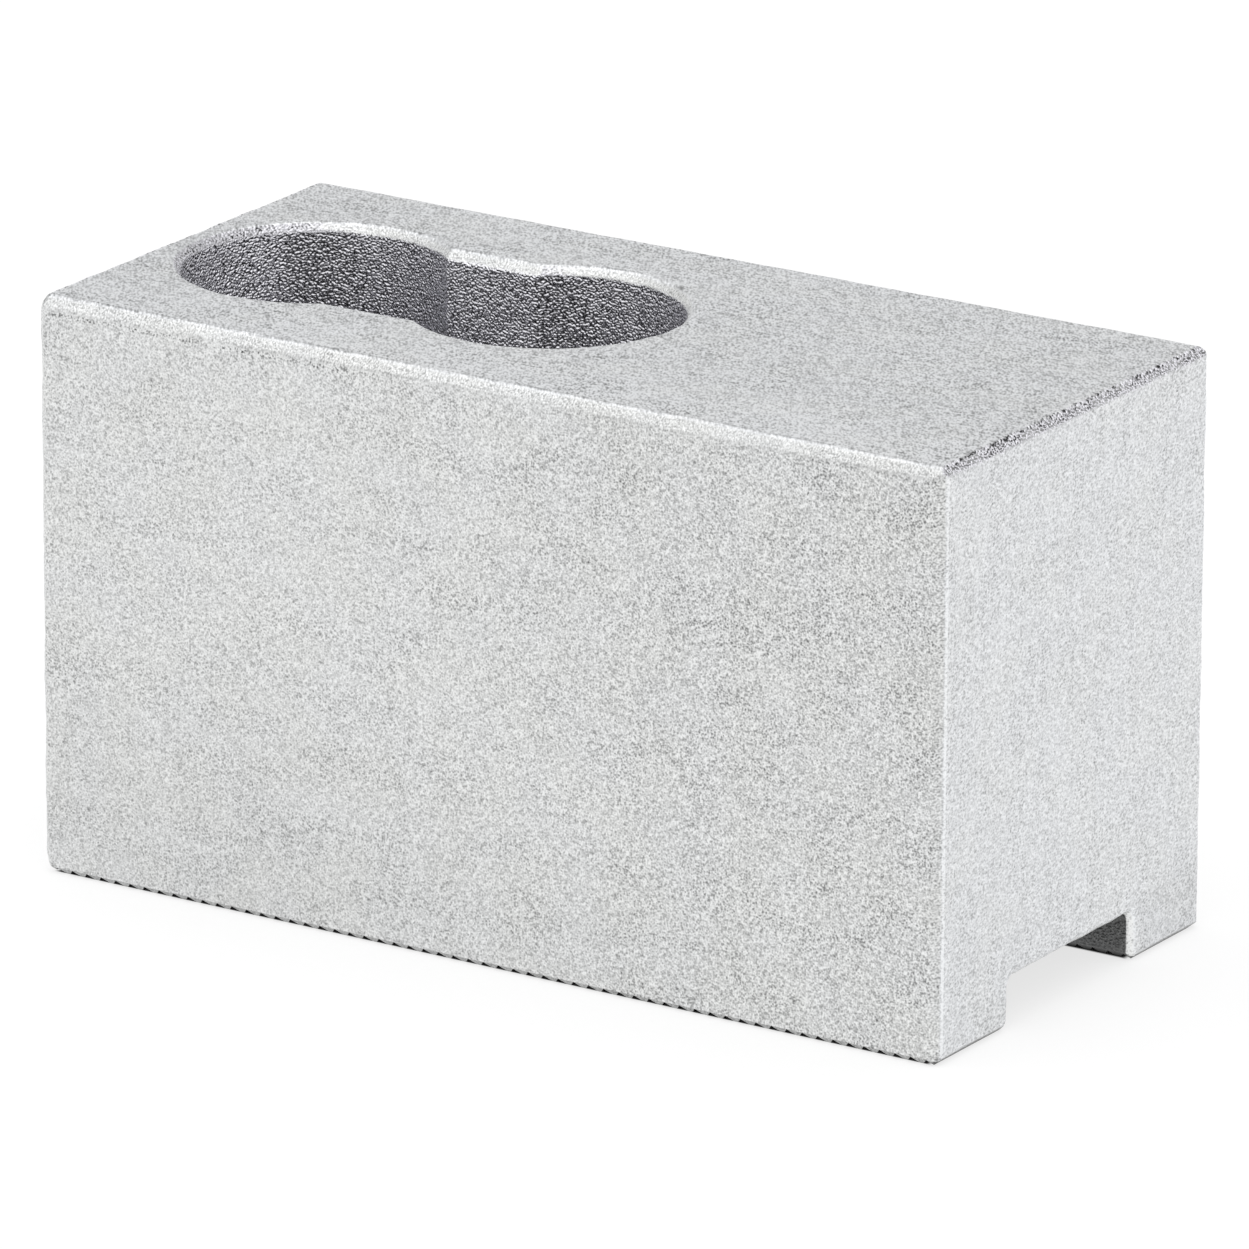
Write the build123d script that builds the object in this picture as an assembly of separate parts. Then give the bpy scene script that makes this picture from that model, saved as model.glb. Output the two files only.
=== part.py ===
from build123d import *
import os

# Soft top jaw for a power chuck: a plain steel block that its user bores out to suit a workpiece.
# X runs along the chuck's radius, Y across the jaw and Z up. The origin is the middle of the base, on the
# crests of the serration.

# The block
length = 95.0
width = 45.0
height = 54.2

# Edges broken at 45 degrees, each given as the width taken off one face
long_edge = 1.0         # the two long top edges
end_edge = 0.7          # the two top edges across the ends
upright_edge = 0.85     # the four upright edges
base_edge = 0.6         # the two long edges of the base
heel_edge = 1.1         # the base's edge at the left end, by the screw pocket
toe_edge = 0.7          # the base's edge at the right end

# Serration across the base: 90 degree gaps with flat crests between them
pitch = 1.5875          # one sixteenth of an inch
gap_depth = 0.6
first_gap = 1.8         # left end to the middle of the first whole gap

# Groove for the key nuts, along the middle of the base
groove_width = 21.0
groove_depth = 4.7
groove_corner = 1.0     # radius where the walls meet the roof
groove_lip = 0.8        # chamfer where the walls meet the base
groove_mouth = 0.5      # flare of the groove's outline at both end faces

# Screw pocket in the top
hole_spacing = 25.0
pocket_offset = 15.0    # left end to the middle of the first screw
head_bore = 24.5        # diameter of the two counterbores
channel_width = 19.0    # straight slot that runs the counterbores together
seat_height = 20.0      # base to the floor that the screw heads pull on
bore_edge = 0.75        # chamfer round the counterbores' rims
channel_edge = 0.95     # chamfer along the channel's rims
screw_hole = 17.5
screw_hole_edge = 0.5   # chamfer where a screw hole meets the floor


def prism(outline, plane, depth):
    """Solid with a closed outline, reaching as far on one side of the plane as on the other."""
    return extrude(plane * make_face(Polyline(*outline, close=True)), amount=depth / 2, both=True)


def standing_outline(across, top_edge, left_base, right_base):
    """The block seen along one level axis, with its upper and lower corners cut off at 45 degrees."""
    half = across / 2
    return [
        (half - right_base, 0),
        (half, right_base),
        (half, height - top_edge),
        (half - top_edge, height),
        (top_edge - half, height),
        (-half, height - top_edge),
        (-half, left_base),
        (left_base - half, 0),
    ]


def block():
    """The squared bar with all its outer edges broken: what is common to prisms along X, Y and Z."""
    along_x = prism(standing_outline(width, long_edge, base_edge, base_edge), Plane.YZ, length)
    along_y = prism(standing_outline(length, end_edge, heel_edge, toe_edge), Plane.XZ, width)
    plan = Rectangle(length, width)
    along_z = extrude(chamfer(plan.vertices(), upright_edge), amount=height)
    return along_x & along_y & along_z


def key_groove(body):
    """Cuts the groove from end to end and flares it at both end faces."""
    half = groove_width / 2
    slot = make_face(
        Polyline(
            (half + 2 * groove_lip, -groove_lip),
            (half, groove_lip),
            (half, groove_depth),
            (-half, groove_depth),
            (-half, groove_lip),
            (-half - 2 * groove_lip, -groove_lip),
            close=True,
        )
    )
    slot = fillet(slot.vertices().group_by(Axis.Y)[-1], groove_corner)
    flare = extrude(Plane.YZ.offset(length / 2 - groove_mouth) * slot, amount=2 * groove_mouth, taper=-45)
    body -= extrude(Plane.YZ * slot, amount=length / 2, both=True)
    return body - [flare, mirror(flare, Plane.YZ)]


def serration(body):
    """Cuts the V gaps across the base, up to the right end."""
    gap = [(-gap_depth, 0), (0, gap_depth), (gap_depth, 0), (0, -gap_depth)]
    cutter = prism(gap, Plane.XZ, width)
    start = -length / 2 + first_gap
    count = int((length - first_gap) / pitch) + 1
    return body - [Pos(start + i * pitch, 0, 0) * cutter for i in range(count)]


def screw_pocket(body):
    """Sinks the two counterbores and the channel between them, then drills the screw holes into the groove."""
    first = -length / 2 + pocket_offset
    screws = [first, first + hole_spacing]
    middle = Pos(first + hole_spacing / 2, 0)
    outline = middle * Rectangle(hole_spacing, channel_width)
    outline += [Pos(x, 0) * Circle(head_bore / 2) for x in screws]
    body -= extrude(Plane.XY.offset(seat_height) * outline, amount=height - seat_height)

    # The rims: each counterbore's is a cone and the channel's are two slopes, so they step where they meet
    half = channel_width / 2
    slopes = [
        (half, height - channel_edge),
        (half + 2 * channel_edge, height + channel_edge),
        (-half - 2 * channel_edge, height + channel_edge),
        (-half, height - channel_edge),
    ]
    body -= middle * prism(slopes, Plane.YZ, hole_spacing)
    cone = Cone(
        head_bore / 2,
        head_bore / 2 + 2 * bore_edge,
        2 * bore_edge,
        align=(Align.CENTER, Align.CENTER, Align.CENTER),
    )
    body -= [Pos(x, 0, height) * cone for x in screws]

    for x in screws:
        body -= Pos(x, 0, 0) * extrude(Circle(screw_hole / 2), amount=seat_height)
    floor = body.faces().filter_by(Axis.Z).sort_by_distance((first, 0, seat_height))[0]
    rims = floor.inner_wires()
    return chamfer([edge for rim in rims for edge in rim.edges()], screw_hole_edge)


os.makedirs("parts", exist_ok=True)
jaw = serration(screw_pocket(key_groove(block())))
export_step(jaw, "parts/soft_jaw.step")
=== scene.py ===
import bpy
import bmesh
import math
import numpy as np
from mathutils import Matrix, Vector


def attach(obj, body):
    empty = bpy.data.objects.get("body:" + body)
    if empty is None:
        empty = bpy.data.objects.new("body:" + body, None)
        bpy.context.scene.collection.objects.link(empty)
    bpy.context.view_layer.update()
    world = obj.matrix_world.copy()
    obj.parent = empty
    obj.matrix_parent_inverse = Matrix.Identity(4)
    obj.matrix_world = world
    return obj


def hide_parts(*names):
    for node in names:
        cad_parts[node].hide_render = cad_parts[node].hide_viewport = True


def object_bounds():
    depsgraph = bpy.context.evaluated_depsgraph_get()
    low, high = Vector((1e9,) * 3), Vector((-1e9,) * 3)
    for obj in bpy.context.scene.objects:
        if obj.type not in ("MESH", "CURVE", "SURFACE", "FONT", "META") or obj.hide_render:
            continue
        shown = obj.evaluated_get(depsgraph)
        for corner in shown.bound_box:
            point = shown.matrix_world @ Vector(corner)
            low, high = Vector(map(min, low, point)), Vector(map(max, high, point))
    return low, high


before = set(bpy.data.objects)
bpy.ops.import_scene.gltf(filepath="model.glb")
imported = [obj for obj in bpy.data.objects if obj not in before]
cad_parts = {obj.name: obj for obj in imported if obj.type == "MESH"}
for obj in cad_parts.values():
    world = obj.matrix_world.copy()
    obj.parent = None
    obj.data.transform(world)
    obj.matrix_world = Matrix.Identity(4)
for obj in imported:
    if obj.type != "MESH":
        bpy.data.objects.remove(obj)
cad_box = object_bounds()

# The jaw: one block of bare steel, milled all over. Its edges are broken by hand and its outside is then
# blasted with fine grit, so the faces are matt and grainy and the edges are soft and not quite straight.
# Sizes are in mm.
mm = 0.001
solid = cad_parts["soft_jaw"]
half_length, half_width, top = (side / mm for side in cad_box[1])
edge_round = 0.16           # how far the blasting rounds an edge back
edge_waver = 0.05           # usual stray of a hand-broken edge from its line
edge_step = 0.5             # length of one straight bit of a wavering edge
edge_waves = ((9.0, 0.9), (4.6, 0.8), (2.7, 0.6), (1.6, 0.4))    # length and share of each wave of the stray
sharp_turn = 20             # least turn, in degrees, of an edge that the blasting rounds
tooth_edges = 0.5           # an edge that starts below this is the serration's, left as it is milled
base_edges = 1.2            # so are those that end below this, but for the ones on the end faces
groove_top = 5.6            # the key groove and its flare lie below this
groove_reach = 12.5         # and within this of the middle
pocket_middle = -20.0       # x of the screw pocket's middle
pocket_reach = (26.0, 13.2)     # how far the pocket's rim lies from there, along x and y
on_face = 0.01              # a point this near an outer face is on it
on_cut = 0.0001             # a point this near a cut is on it
squarely = 0.95             # least share of a direction along one axis for it to count as along that axis
worn_flats = [              # a point on each flat that is worn or knocked off, and the way that it faces
    ((-half_length, 0, 2.05), (-0.924, 0, -0.383)),
    ((-half_length, 0, 1.72), (-0.707, 0, -0.707)),
    ((1.8 - half_length, 0, 0), (-0.383, 0, -0.924)),
    ((-half_length, 0.85 - half_width, top - 1.65), (-0.9, -0.2, 0.39)),
    ((-half_length, half_width - 0.85, top - 1.65), (-0.9, 0.2, 0.39)),
    ((half_length, half_width, 0.65), (0.25, 0.65, -2.2)),
]


def within_pocket(x, y):
    """Whether a point is over the screw pocket or its rim."""
    return (np.abs(x - pocket_middle) < pocket_reach[0]) & (np.abs(y) < pocket_reach[1])


def rounded(edge):
    """Whether the blasting rounds an edge: it is sharp, and it is an outer edge, the pocket's rim or the
    groove's mouth."""
    if edge.calc_face_angle(0.0) < math.radians(sharp_turn):
        return False
    ends = np.array([v.co for v in edge.verts]) / mm
    low, high = ends[:, 2].min(), ends[:, 2].max()
    nearest, farthest = np.sort(np.abs(ends[:, 0]))
    if low < tooth_edges or (high < base_edges and nearest < half_length - 0.05):
        return False
    inner = within_pocket(*ends.mean(0)[:2]) or (high < groove_top and farthest < half_length - 1)
    return high > top - 1 or not inner


def cut_shell():
    """The solid's triangles merged into one closed shell of flat faces, whose rounded edges are cut into
    short bits. The shell is cut along its middle first, so that no flat face is left with a hole in it."""
    shell = bmesh.new()
    shell.from_mesh(solid.data)
    bmesh.ops.remove_doubles(shell, verts=shell.verts, dist=0.002 * mm)
    everything = shell.verts[:] + shell.edges[:] + shell.faces[:]
    bmesh.ops.bisect_plane(
        shell, geom=everything, dist=on_cut * mm, plane_co=(0, 0, 0), plane_no=(0, 1, 0)
    )
    off_middle = [e for e in shell.edges if max(abs(v.co.y) for v in e.verts) > 0.001 * mm]
    bmesh.ops.dissolve_limit(shell, angle_limit=math.radians(0.5), verts=shell.verts, edges=off_middle)
    weight = shell.edges.layers.float.new("bevel_weight_edge")
    by_cuts = {}
    for edge in shell.edges:
        if rounded(edge):
            edge[weight] = 1.0
            start, end = (v.co / mm for v in edge.verts)
            upright = within_pocket(start.x, start.y) and abs(start.z - end.z) > 1
            cuts = 0 if upright else int(edge.calc_length() / mm / edge_step)
            by_cuts.setdefault(cuts, []).append(edge)
    for cuts, edges in by_cuts.items():
        if cuts:
            bmesh.ops.bisect_edges(shell, edges=edges, cuts=cuts)
    strips = [f for f in shell.faces if len(f.verts) > 4 and max(abs(c) for c in f.normal) < squarely]
    bmesh.ops.triangulate(shell, faces=strips, ngon_method="BEAUTY")
    made = bpy.data.meshes.new("soft_jaw_block")
    shell.to_mesh(made)
    shell.free()
    return made


def wavered(points, held):
    """Points moved along each axis that isn't held. The move is a sum of sine waves, whose directions and
    starts come from one seed."""
    draw = np.random.default_rng(7)
    away = np.zeros_like(points)
    for axis in range(3):
        for wave, share in edge_waves:
            slope = draw.normal(size=3)
            slope *= 2 * np.pi / wave / np.linalg.norm(slope)
            away[:, axis] += share * np.sin(points @ slope + draw.uniform(0, 2 * np.pi))
    return points + edge_waver * away * ~held


def stray(made):
    """Moves the rounded edges' points off their lines. A point keeps to the flat faces that meet there, and
    doesn't move along its own edge."""
    points = np.empty(len(made.vertices) * 3, np.float32)
    made.vertices.foreach_get("co", points)
    points = points.reshape(-1, 3) / mm
    ends = np.empty(len(made.edges) * 2, np.int32)
    made.edges.foreach_get("vertices", ends)
    weights = np.empty(len(made.edges), np.float32)
    made.attributes["bevel_weight_edge"].data.foreach_get("value", weights)
    ends = ends.reshape(-1, 2)[weights > 0.5]
    x, y, z = points.T
    outermost = half_length - on_face
    highest = top - on_face
    held = np.stack([np.abs(x) > outermost, np.abs(y) > half_width - on_face, z > highest], 1)
    held[within_pocket(x, y) & (z < highest), :2] = True
    held[(z < groove_top) & (np.abs(y) < groove_reach) & (np.abs(x) < outermost), 1:] = True
    run = points[ends[:, 1]] - points[ends[:, 0]]
    run /= np.linalg.norm(run, axis=1)[:, None]
    for axis in range(3):
        held[ends[np.abs(run[:, axis]) > squarely].ravel(), axis] = True
    loose = np.zeros(len(points), bool)
    loose[ends.ravel()] = True
    held[~loose] = True
    made.vertices.foreach_set("co", (wavered(points, held) * mm).astype(np.float32).ravel())


def worn_block():
    """The cut shell with its edges strayed and rounded. What stands out past each worn flat is taken off and
    the cut is closed."""
    made = cut_shell()
    stray(made)
    shell = bmesh.new()
    shell.from_mesh(made)
    weight = shell.edges.layers.float["bevel_weight_edge"]
    bmesh.ops.bevel(
        shell,
        geom=[e for e in shell.edges if e[weight] > 0.5],
        offset=edge_round * mm,
        offset_type="OFFSET",
        segments=2,
        profile=0.5,
        affect="EDGES",
        clamp_overlap=False,
    )
    for point, facing in worn_flats:
        everything = shell.verts[:] + shell.edges[:] + shell.faces[:]
        cut = bmesh.ops.bisect_plane(
            shell,
            geom=everything,
            dist=on_cut * mm,
            plane_co=Vector(point) * mm,
            plane_no=facing,
            clear_outer=True,
        )
        rim = [part for part in cut["geom_cut"] if isinstance(part, bmesh.types.BMEdge)]
        bmesh.ops.edgeloop_fill(shell, edges=rim)
    bmesh.ops.triangulate(shell, faces=[f for f in shell.faces if len(f.verts) > 4])
    shell.to_mesh(made)
    shell.free()
    made.polygons.foreach_set("use_smooth", np.ones(len(made.polygons), bool))
    made.set_sharp_from_angle(angle=math.radians(30))
    return made


def blasted_steel():
    """Bare steel. The grit's dents are a fine noise that sets the height and the tone together, with cells
    drawn out along the face that they are on, and slow noises make the dents darker in streaks, the way the
    cutter went. In the pocket the tone is painted light: its noise lies a little above the height's, so that
    each dent has a painted glint on one side, and the wall is painted lighter or darker by the way that it
    faces. Some chamfers, the groove and the serration's gaps carry painted highlights and painted shade as
    well."""
    made = bpy.data.materials.new("blasted_steel")
    made.use_nodes = True
    tree = made.node_tree
    link = tree.links.new
    shader = tree.nodes["Principled BSDF"]
    shader.inputs["Metallic"].default_value = 1.0
    to_mm = tree.nodes.new("ShaderNodeMapping")
    to_mm.inputs["Scale"].default_value = (1 / mm,) * 3
    link(tree.nodes.new("ShaderNodeTexCoord").outputs["Object"], to_mm.inputs["Vector"])
    where = to_mm.outputs["Vector"]

    def parts(vector):
        """A vector's three coordinates."""
        node = tree.nodes.new("ShaderNodeSeparateXYZ")
        link(vector, node.inputs["Vector"])
        return node.outputs

    def feed(socket, value):
        """Sets a socket to a number, or links a node's output to it."""
        if isinstance(value, (int, float)):
            socket.default_value = value
        else:
            link(value, socket)

    def calc(operation, first, *others):
        """What a Math node makes of its values, taken in a chain where there are more than two."""
        for other in others or (0.0,):
            node = tree.nodes.new("ShaderNodeMath")
            node.operation = operation
            feed(node.inputs[0], first)
            feed(node.inputs[1], other)
            first = node.outputs["Value"]
        return first

    def rise(value, start, end, low=0.0, high=1.0):
        """Low before start, high after end and an even S between them."""
        node = tree.nodes.new("ShaderNodeMapRange")
        node.interpolation_type = "SMOOTHSTEP"
        feed(node.inputs["Value"], value)
        for name, number in (("From Min", start), ("From Max", end), ("To Min", low), ("To Max", high)):
            feed(node.inputs[name], number)
        return node.outputs["Result"]

    def blend(share, a, b):
        """The value a where the share is nought, b where it is one, and evenly between."""
        node = tree.nodes.new("ShaderNodeMix")
        feed(node.inputs["Factor"], share)
        feed(node.inputs["A"], a)
        feed(node.inputs["B"], b)
        return node.outputs["Result"]

    def blends(value, areas):
        """The value with each area's own blended over it in turn."""
        for share, own in areas:
            value = blend(share, value, own)
        return value

    def scaled(value, area, change):
        """The value times one more than the change, over the area."""
        return calc("MULTIPLY", value, calc("ADD", 1.0, calc("MULTIPLY", area, change)))

    def noise(size, detail=0.0, start=0.0, turn=0.0, lift=0.0):
        """Gradient noise about nought, with a spread of about one. Size is a cell's along each axis and
        start is how far the cells are moved, both in mm. Turn is the cells' turn about the upright axis, in
        degrees, and lift is how much higher the pattern lies, in mm."""
        cells = tree.nodes.new("ShaderNodeMapping")
        cells.vector_type = "TEXTURE"
        cells.inputs["Scale"].default_value = size
        cells.inputs["Rotation"].default_value = (0, 0, math.radians(turn))
        cells.inputs["Location"].default_value = (start, start, start + lift)
        link(where, cells.inputs["Vector"])
        node = tree.nodes.new("ShaderNodeTexNoise")
        node.inputs["Scale"].default_value = 1.0
        node.inputs["Detail"].default_value = detail
        link(cells.outputs["Vector"], node.inputs["Vector"])
        return calc("MULTIPLY", calc("SUBTRACT", node.outputs["Fac"], 0.5), 8.0)

    def mixed(share, a, b):
        """Colour a where the share is nought, b where it is one; a is a colour or a node's output."""
        node = tree.nodes.new("ShaderNodeMix")
        node.data_type = "RGBA"
        link(share, node.inputs["Factor"])
        if isinstance(a, tuple):
            node.inputs["A"].default_value = a + (1,)
        else:
            link(a, node.inputs["A"])
        node.inputs["B"].default_value = b + (1,)
        return node.outputs["Result"]

    x, y, z = parts(where)
    facing_x, facing_y, facing_z = parts(tree.nodes.new("ShaderNodeNewGeometry").outputs["True Normal"])
    far_x = calc("ABSOLUTE", x)
    far_y = calc("ABSOLUTE", y)
    from_pocket = calc("ABSOLUTE", calc("SUBTRACT", x, pocket_middle))
    side_dents = noise((0.175, 0.26, 0.175))
    ragged_z = calc("ADD", z, calc("MULTIPLY", side_dents, 0.07))

    # Areas of the block, each a mask of one there and nought elsewhere. The pocket's reaches down the screw
    # holes.
    on_top = rise(z, top - 0.35, top - 0.1)
    on_end = rise(far_x, half_length - 0.3, half_length - 0.1)
    across_pocket = rise(far_y, pocket_reach[1] + 1, pocket_reach[1])
    in_pocket = calc(
        "MULTIPLY",
        rise(ragged_z, top - 0.76, top - 0.92),
        across_pocket,
        rise(z, 4.9, 5.1),
        rise(facing_z, 0.9, 0.8),
        rise(from_pocket, pocket_reach[0] + 0.2, pocket_reach[0] - 0.2),
    )
    on_rim = calc(
        "MULTIPLY",
        rise(z, top - 0.95, top - 0.8),
        rise(z, top - 0.06, top - 0.12),
        across_pocket,
        rise(from_pocket, pocket_reach[0] + 1, pocket_reach[0] + 0.2),
    )
    # The pocket's rim where it faces right, which is set darker, bluer and more deeply dented.
    rim_facing_right = calc("MULTIPLY", on_rim, rise(facing_x, 0.25, 0.5))
    in_gap = calc(
        "MULTIPLY",
        rise(z, 0.75, 0.7),
        rise(calc("ABSOLUTE", facing_x), 0.4, 0.5),
        rise(far_x, half_length - 0.8, half_length - 1.0),
    )
    under_groove = calc("MULTIPLY", rise(z, 4.8, 4.75), rise(far_y, 11.5, 11.4))
    at_mouth = calc(
        "MULTIPLY",
        under_groove,
        rise(far_x, half_length - 0.78, half_length - 0.68),
        rise(calc("ABSOLUTE", facing_x), 0.9, 0.8),
    )
    in_groove = calc("MULTIPLY", under_groove, rise(far_x, half_length - 0.68, half_length - 0.78))
    # The groove's wall and the serration's gaps, which are painted dark below: painted shade, darkest at the
    # bottom.
    painted_shade_hollows = calc("MAXIMUM", in_gap, in_groove)
    on_long_edge = rise(calc("ADD", far_y, z), half_width + top - 1.25, half_width + top - 1.12)
    on_end_edge = rise(calc("ADD", far_x, ragged_z), half_length + top - 0.86, half_length + top - 0.76)
    on_crown = calc(
        "MULTIPLY",
        rise(facing_z, 0.75, 0.80),
        rise(facing_z, 0.998, 0.993),
        rise(far_y, half_width - 1.6, half_width - 1.5),
    )
    on_skirt = calc("MULTIPLY", rise(z, 0.72, 0.62), rise(facing_z, -0.5, -0.6))
    on_arris = calc(
        "MULTIPLY",
        rise(far_x, half_length - 0.14, half_length - 0.10),
        rise(far_y, half_width - 0.99, half_width - 0.94),
    )
    on_toe = calc("MULTIPLY", rise(z, 0.5, 0.35), rise(x, half_length - 0.8, half_length - 0.7))
    at_far_foot = calc("MULTIPLY", rise(y, 9.0, 14.0), rise(z, 9.0, 4.0))
    # A band just under the top edge, towards the left end, where the dents are darker.
    under_edge = calc(
        "MULTIPLY",
        rise(z, top - 1.75, top - 1.6),
        rise(z, top - 1.2, top - 1.35),
        rise(x, 0.0, -30.0),
    )
    smooth = calc(
        "MAXIMUM",
        calc("MULTIPLY", on_long_edge, rise(x, -half_length, 0.0, 0.3, 1.0)),
        at_mouth,
        calc("MULTIPLY", calc("SUBTRACT", on_rim, rim_facing_right), 0.6),
    )

    # Dents, and the slow streaks and patches in which they are darker
    top_dents = calc("MULTIPLY", noise((0.20, 0.52, 0.30), start=3.0, turn=33.0), 0.92)
    top_dents = calc("ADD", top_dents, calc("MULTIPLY", noise((1.5, 0.25, 0.5), start=41.0), 0.35))
    pocket_cell = (0.21, 0.24, 0.20)
    dents = blends(side_dents, [(on_top, top_dents), (in_pocket, noise(pocket_cell, start=5.0))])
    streaks = blend(
        on_end,
        noise((15.0, 1.9, 1.6), detail=1.0, start=11.0),
        noise((1.1, 1.0, 12.0), start=17.0),
    )
    patches = noise((5.0, 5.0, 4.0), start=23.0)
    slow = calc("ADD", calc("MULTIPLY", streaks, 0.55), calc("MULTIPLY", patches, 0.45))
    darker = calc("ADD", 1.0, rise(slow, -1.0, 1.6, 0.0, 0.7), calc("MULTIPLY", under_edge, 1.6))
    swing = calc("ADD", calc("MAXIMUM", dents, 0.0), calc("MULTIPLY", calc("MINIMUM", dents, 0.0), darker))

    # How far the dents change the tone, then the tone itself about one
    rightward = rise(x, -25.0, half_length)
    downward = rise(z, 30.0, 0.0)
    depth = blends(
        calc("ADD", 0.113, calc("MULTIPLY", rightward, 0.042)),
        [(on_end, 0.098), (on_top, 0.145), (on_end_edge, 0.65), (smooth, 0.11), (rim_facing_right, 0.32)],
    )
    tone = calc("ADD", 1.0, calc("MULTIPLY", swing, depth))
    tone = calc("SUBTRACT", tone, calc("MULTIPLY", slow, 0.010))
    # In the pocket the tone is painted light: a painted glint on the upper slope of each dent, and the wall
    # painted lighter or darker by the way that it faces.
    sparkle = rise(facing_x, 0.7, 0.95, 0.80, 2.0)
    pocket_painted_light = calc(
        "MULTIPLY",
        calc("POWER", 2.0, calc("MULTIPLY", noise(pocket_cell, start=5.0, lift=0.08), sparkle)),
        rise(facing_x, -0.2, 0.04, 1.36, 1.04),
        rise(facing_x, 0.1, 0.5, 1.0, 0.65),
        rise(facing_x, 0.5, 0.7, 1.0, 0.86),
        rise(facing_x, 0.68, 0.93, 1.0, 4.3),
        rise(facing_y, -0.1, 0.3, 1.0, 0.3),
        rise(far_y, 10.0, 9.6, 1.0, 1.12),
    )
    tone = blend(in_pocket, tone, pocket_painted_light)

    # The steel's level on each area. The sides are darker towards the right end and towards the foot, partly
    # painted shade of the light's fall-off and partly the steel's own tone; the top is lighter towards its
    # front edge and away from its left end.
    level = calc("SUBTRACT", 0.750, calc("MULTIPLY", calc("MAXIMUM", rightward, downward), 0.056))
    top_level = calc("ADD", 0.752, rise(x, -42.0, -25.0, 0.0, 0.018), rise(y, -12.0, -17.0, 0.0, 0.044))
    # The end's top chamfer is set darker: painted shade standing in for the dark that it reflects.
    level = blends(level, [(on_end, 0.757), (on_top, top_level), (on_end_edge, 0.66)])
    # The front's top chamfer is a little lighter, most towards the left end: a painted highlight.
    level = calc("MULTIPLY", level, blend(on_long_edge, 1.0, rise(x, -half_length, 0.0, 1.03, 1.01)))
    # The crown between the front chamfer and the top is darkened, painted shade over the highlight that it
    # catches; the far foot's lower part is set darker too.
    level = scaled(scaled(level, on_crown, -0.16), at_far_foot, -0.07)
    # The rim facing right is darker. The pocket's walls are set darker, painted shade on which the painted
    # glints are laid.
    level = blends(level, [(rim_facing_right, 0.60), (in_pocket, 0.70)])
    # Painted highlights on the chamfers at the groove's mouths and along the upright edges where the ends
    # meet their corner chamfers. Painted shade on the downward-facing chamfers along the bottom, on the
    # groove's wall and in the serration's gaps, and on the toe chamfer at the right end. The pocket's rim is
    # a little lighter.
    level = blends(
        scaled(level, on_rim, 0.02),
        [
            (at_mouth, 0.95),
            (on_arris, 0.96),
            (on_skirt, 0.46),
            (painted_shade_hollows, rise(z, 0.2, 1.0, 0.07, 0.14)),
            (on_toe, 0.20),
        ],
    )
    pits = rise(noise((0.42, 0.42, 0.42), start=47.0), 1.9, 2.5, 0.0, 0.30)
    level = scaled(level, calc("MULTIPLY", pits, rise(smooth, 1.0, 0.0)), -1.0)
    tone = calc("MULTIPLY", calc("MAXIMUM", tone, 0.04), level)

    # The steel's colour: faintly green on the sides; bluer on the top and the ends, a painted tint of cooler
    # light there; bluer in the pocket and in cool patches
    cool = calc(
        "ADD",
        calc("MULTIPLY", calc("MAXIMUM", on_top, on_end, in_pocket), 0.75),
        rise(noise((6.0, 6.0, 6.0), start=31.0), -1.2, 1.2, 0.0, 0.35),
    )
    tint = mixed(cool, (0.992, 1.0, 0.992), (0.986, 1.0, 1.018))
    tint = mixed(calc("MAXIMUM", in_pocket, on_end_edge, rim_facing_right), tint, (0.998, 0.993, 1.042))
    colour = tree.nodes.new("ShaderNodeVectorMath")
    colour.operation = "SCALE"
    link(tint, colour.inputs[0])
    link(calc("MINIMUM", tone, 0.95), colour.inputs["Scale"])
    link(colour.outputs["Vector"], shader.inputs["Base Color"])

    link(blend(in_pocket, 0.42, 0.28), shader.inputs["Roughness"])
    bump = tree.nodes.new("ShaderNodeBump")
    bump.inputs["Strength"].default_value = 1.0
    pocket_relief = rise(facing_x, 0.74, 0.92, 0.021, 0.038)
    relief = blends(
        0.011,
        [(on_top, 0.014), (on_end_edge, 0.040), (in_pocket, pocket_relief), (smooth, 0.008)],
    )
    link(calc("MULTIPLY", relief, mm), bump.inputs["Distance"])
    link(dents, bump.inputs["Height"])
    link(bump.outputs["Normal"], shader.inputs["Normal"])
    return made


jaw_mesh = worn_block()
jaw_mesh.materials.append(blasted_steel())
jaw = bpy.data.objects.new("soft_jaw_block", jaw_mesh)
bpy.context.scene.collection.objects.link(jaw)
flat_light = jaw.modifiers.new("flat_light", "WEIGHTED_NORMAL")
flat_light.keep_sharp = True
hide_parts("soft_jaw")
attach(jaw, "root")

# The floor: a plain table top with a matt white finish. It is lightened to white for the camera and for
# reflections, but not right under the jaw's two feet, where that light would shine through the gaps of the
# serration.
floor_half = 3.0            # half the table's side, in metres
floor_paint = 0.31          # how light the paint itself is
floor_lift = 0.73           # what is added to it for the camera and for reflections
corners = [(-1, -1), (1, -1), (1, 1), (-1, 1)]
floor_mesh = bpy.data.meshes.new("table_top")
floor_mesh.from_pydata([(x * floor_half, y * floor_half, 0) for x, y in corners], [], [(0, 1, 2, 3)])
table_top = bpy.data.objects.new("table_top", floor_mesh)
bpy.context.scene.collection.objects.link(table_top)


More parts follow.
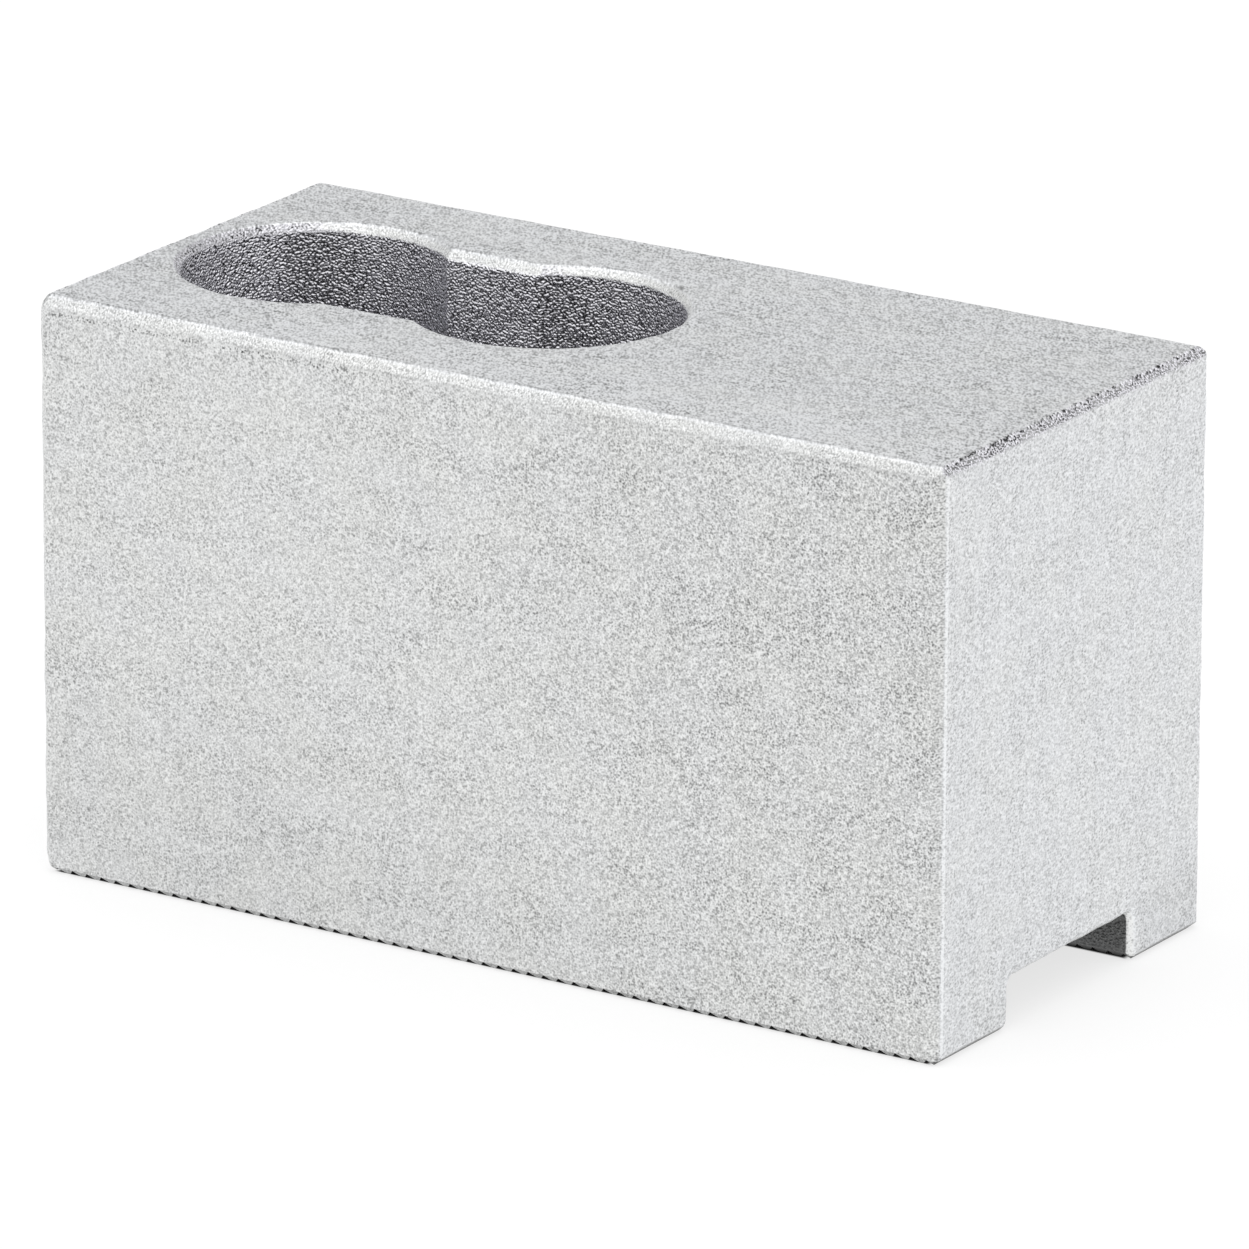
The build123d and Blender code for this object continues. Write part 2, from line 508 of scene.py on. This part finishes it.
def table_white():
    """Pale paint that the camera, metal and glass see lightened to white, but for the jaw's shadow."""
    made = bpy.data.materials.new("table_white")
    made.use_nodes = True
    tree = made.node_tree
    link = tree.links.new
    shader = tree.nodes["Principled BSDF"]
    shader.inputs["Base Color"].default_value = (floor_paint, floor_paint, floor_paint, 1)
    shader.inputs["Roughness"].default_value = 0.9
    shader.inputs["Specular IOR Level"].default_value = 0.0
    shader.inputs["Emission Color"].default_value = (1, 1, 1, 1)
    place = tree.nodes.new("ShaderNodeSeparateXYZ")
    link(tree.nodes.new("ShaderNodeTexCoord").outputs["Object"], place.inputs["Vector"])

    def combine(operation, a, b=0.0):
        """What a Math node makes of a and b."""
        node = tree.nodes.new("ShaderNodeMath")
        node.operation = operation
        for socket, value in zip(node.inputs, (a, b)):
            if isinstance(value, float):
                socket.default_value = value
            else:
                link(value, socket)
        return node.outputs["Value"]

    def clear(axis, start, end):
        """Nought where the floor's coordinate, taken without its sign, is at start, and one where it is at
        end."""
        step = tree.nodes.new("ShaderNodeMapRange")
        step.inputs["From Min"].default_value = start * mm
        step.inputs["From Max"].default_value = end * mm
        link(combine("ABSOLUTE", place.outputs[axis]), step.inputs["Value"])
        return step.outputs["Result"]

    path = tree.nodes.new("ShaderNodeLightPath").outputs
    seen = combine("MAXIMUM", path["Is Camera Ray"], path["Is Glossy Ray"])
    seen = combine("MAXIMUM", seen, path["Is Transmission Ray"])
    in_groove = clear("Y", 11.3, 11.0)
    past_sides = clear("Y", half_width - 0.65, half_width - 0.55)
    past_ends = clear("X", half_length - 1.5, half_length - 1.0)
    off_feet = combine("MAXIMUM", combine("MAXIMUM", in_groove, past_sides), past_ends)
    lift = combine("MULTIPLY", seen, combine("MULTIPLY", off_feet, floor_lift))
    link(lift, shader.inputs["Emission Strength"])
    return made


floor_mesh.materials.append(table_white())

# The studio: a white surround, darker in a band at the back and brighter overhead, and one large soft lamp
# above the jaw. Each ramp is a list of (sine of the height in the sky, brightness).
back_ramp = [(0.0, 1.0), (1.0, 1.25), (0.25, 1.0), (0.40, 0.50), (0.60, 0.50), (0.82, 1.12)]
front_ramp = [(0.0, 0.75), (1.0, 1.25), (0.25, 0.75), (0.50, 0.95), (0.80, 1.1)]
front_ends = -0.1           # a direction whose part along y is below this sees the front's brightness
back_starts = 0.35          # one whose part along y is above this sees the back's
world = bpy.data.worlds.new("studio")
bpy.context.scene.world = world
world.use_nodes = True
sky = world.node_tree
background = sky.nodes["Background"]
background.inputs["Strength"].default_value = 1.0
way = sky.nodes.new("ShaderNodeSeparateXYZ")
sky.links.new(sky.nodes.new("ShaderNodeTexCoord").outputs["Generated"], way.inputs["Vector"])


def sky_ramp(points):
    """Brightness against height in the sky, eased from each point to the next."""
    ramp = sky.nodes.new("ShaderNodeValToRGB")
    ramp.color_ramp.interpolation = "EASE"
    for i, (height, brightness) in enumerate(points):
        stop = ramp.color_ramp.elements[i] if i < 2 else ramp.color_ramp.elements.new(height)
        stop.position = height
        stop.color = (brightness, brightness, brightness, 1)
    sky.links.new(way.outputs["Z"], ramp.inputs["Fac"])
    return ramp.outputs["Color"]


to_back = sky.nodes.new("ShaderNodeMapRange")
to_back.inputs["From Min"].default_value = front_ends
to_back.inputs["From Max"].default_value = back_starts
sky.links.new(way.outputs["Y"], to_back.inputs["Value"])
surround = sky.nodes.new("ShaderNodeMix")
surround.data_type = "RGBA"
behind = sky_ramp(back_ramp)
ahead = sky_ramp(front_ramp)
sky.links.new(to_back.outputs["Result"], surround.inputs["Factor"])
sky.links.new(ahead, surround.inputs["A"])
sky.links.new(behind, surround.inputs["B"])
sky.links.new(surround.outputs["Result"], background.inputs["Color"])


def soft_lamp(name, place, aim, side, power):
    """A square area lamp at place, turned to face aim."""
    light = bpy.data.lights.new(name, "AREA")
    light.shape = "SQUARE"
    light.size = side
    light.energy = power
    lamp = bpy.data.objects.new(name, light)
    lamp.location = place
    lamp.rotation_euler = (Vector(aim) - Vector(place)).to_track_quat("-Z", "Y").to_euler()
    bpy.context.scene.collection.objects.link(lamp)


soft_lamp("key_lamp", place=(-0.15, -0.05, 1.0), aim=(0, 0, 0.03), side=0.8, power=0.6)

# The camera: a long lens at the photograph's angle, from the front right and a little above. Its distance
# and aim are in mm.
azimuth = math.radians(32.907)
elevation = math.radians(18.003)
roll = math.radians(0.227)
distance = 1164.945
aim_height = 27.0
aim_right = 0.459
aim_up = -1.134
lens_px = 13065.3           # the lens's length, in pixels of the photograph's frame
frame_px = 1249
sensor = 36.0
level_right = Vector((math.cos(azimuth), math.sin(azimuth), 0))
back = Vector((
    math.sin(azimuth) * math.cos(elevation),
    -math.cos(azimuth) * math.cos(elevation),
    math.sin(elevation),
))
level_up = back.cross(level_right)
right = math.cos(roll) * level_right + math.sin(roll) * level_up
up = math.cos(roll) * level_up - math.sin(roll) * level_right
eye = Vector((0, 0, aim_height)) + aim_right * right + aim_up * up + distance * back
camera_data = bpy.data.cameras.new("camera")
camera_data.sensor_width = sensor
camera_data.lens = lens_px * sensor / frame_px
camera = bpy.data.objects.new("camera", camera_data)
camera.matrix_world = Matrix.Translation(eye * mm) @ Matrix((right, up, back)).transposed().to_4x4()
bpy.context.scene.collection.objects.link(camera)
bpy.context.scene.camera = camera
bpy.context.scene.view_settings.view_transform = "Standard"
